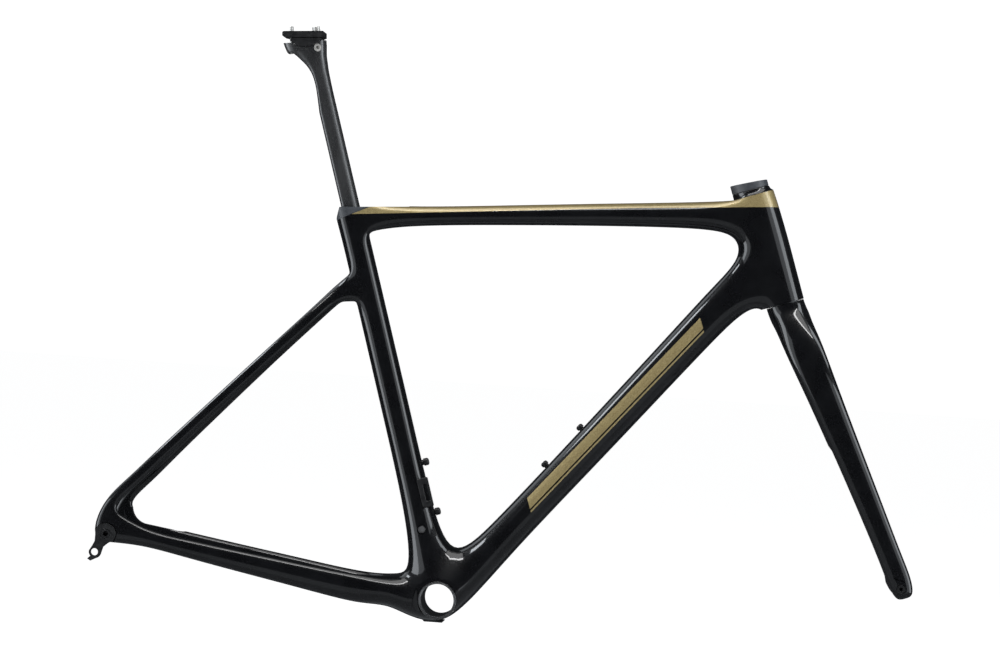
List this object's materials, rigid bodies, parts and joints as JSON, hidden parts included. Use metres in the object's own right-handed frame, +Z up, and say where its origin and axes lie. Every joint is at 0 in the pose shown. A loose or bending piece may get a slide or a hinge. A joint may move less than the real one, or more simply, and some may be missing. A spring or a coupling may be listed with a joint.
{
  "type": "bicycle frameset",
  "caption": "Carbon road bicycle frame with a turning fork, headset, thru axles, sliding seatpost and tilting saddle clamp, for disc brakes.",
  "frame": {"origin": "centre of the bottom bracket, in the frame's middle plane", "axes": "+X forward along the line of the axles, +Y to the rider's left, +Z up"},
  "size_m": [1.0251, 0.1646, 0.7386],
  "materials": {
    "gloss_carbon": "clear-coated black, with olive gold on the top tube and the head tube's top",
    "satin_carbon": "satin charcoal",
    "cover_plastic": "matte blue-grey",
    "black_alloy": "black anodised",
    "dark_alloy": "dark grey anodised",
    "bearing_steel": "ground steel",
    "bright_steel": "bright steel",
    "grey_rubber": "matte grey"
  },
  "bodies": {
    "frame": {"head_tube": "gloss_carbon", "top_tube": "gloss_carbon", "down_tube": "gloss_carbon", "seat_tube": "gloss_carbon", "bottom_bracket_junction": "gloss_carbon", "chainstay_left": "gloss_carbon", "chainstay_right": "gloss_carbon", "seatstay_left": "gloss_carbon", "seatstay_right": "gloss_carbon", "rear_dropout_left": "gloss_carbon", "rear_dropout_right": "gloss_carbon", "seat_clamp_cover": "cover_plastic", "lower_bearing": "bearing_steel", "upper_bearing": "bearing_steel", "bottom_bracket_shell": "dark_alloy", "cable_guide": "dark_alloy", "cable_guide_screw": "dark_alloy", "derailleur_hanger": "black_alloy", "seat_tube_bottle_bolt_lower": "black_alloy", "seat_tube_bottle_bolt_upper": "black_alloy", "down_tube_bottle_bolt_lower": "black_alloy", "down_tube_bottle_bolt_upper": "black_alloy", "front_derailleur_mount": "black_alloy", "wire_plug": "grey_rubber", "rear_brake_sleeve_front": "dark_alloy", "rear_brake_sleeve_rear": "dark_alloy", "seat_wedge_lower": "dark_alloy", "seat_wedge_upper": "dark_alloy", "seat_wedge_bolt": "dark_alloy"},
    "fork": {"fork_crown": "gloss_carbon", "fork_blade_left": "gloss_carbon", "fork_blade_right": "gloss_carbon", "front_dropout_left": "gloss_carbon", "front_dropout_right": "gloss_carbon", "steerer_tube": "satin_carbon", "crown_race": "dark_alloy", "compression_ring": "dark_alloy", "headset_cover": "cover_plastic", "headset_spacer": "cover_plastic", "expander_plug": "dark_alloy", "preload_screw": "dark_alloy", "front_brake_insert_upper": "dark_alloy", "front_brake_insert_lower": "dark_alloy"},
    "front_axle": {"front_thru_axle": "dark_alloy"},
    "rear_axle": {"rear_thru_axle": "dark_alloy"},
    "seatpost": {"seatpost": "satin_carbon", "barrel_nut": "bright_steel", "clamp_bolt_front": "bright_steel", "clamp_bolt_rear": "bright_steel"},
    "saddle_clamp": {"clamp_cradle": "black_alloy", "clamp_plate": "black_alloy", "clamp_nut": "bright_steel"}
  },
  "joints": [
    {"name": "steering", "type": "hinge", "parent": "frame", "child": "fork", "pos_m": [0.4081, 0, 0.40027], "axis": [-0.3305, 0, 0.9438], "continuous": true},
    {"name": "seatpost_height", "type": "slide", "parent": "frame", "child": "seatpost", "axis": [-0.294, 0, 0.9558], "range_m": [-0.12, 0.05]},
    {"name": "saddle_tilt", "type": "hinge", "parent": "seatpost", "child": "saddle_clamp", "pos_m": [-0.21681, 0, 0.70933], "axis": [0, 1, 0], "range_deg": [-7, 7]},
    {"name": "front_axle_pull", "type": "slide", "parent": "fork", "child": "front_axle", "axis": [0, 1, 0], "range_m": [0, 0.112]},
    {"name": "rear_axle_pull", "type": "slide", "parent": "frame", "child": "rear_axle", "axis": [0, 1, 0], "range_m": [0, 0.155]}
  ]
}
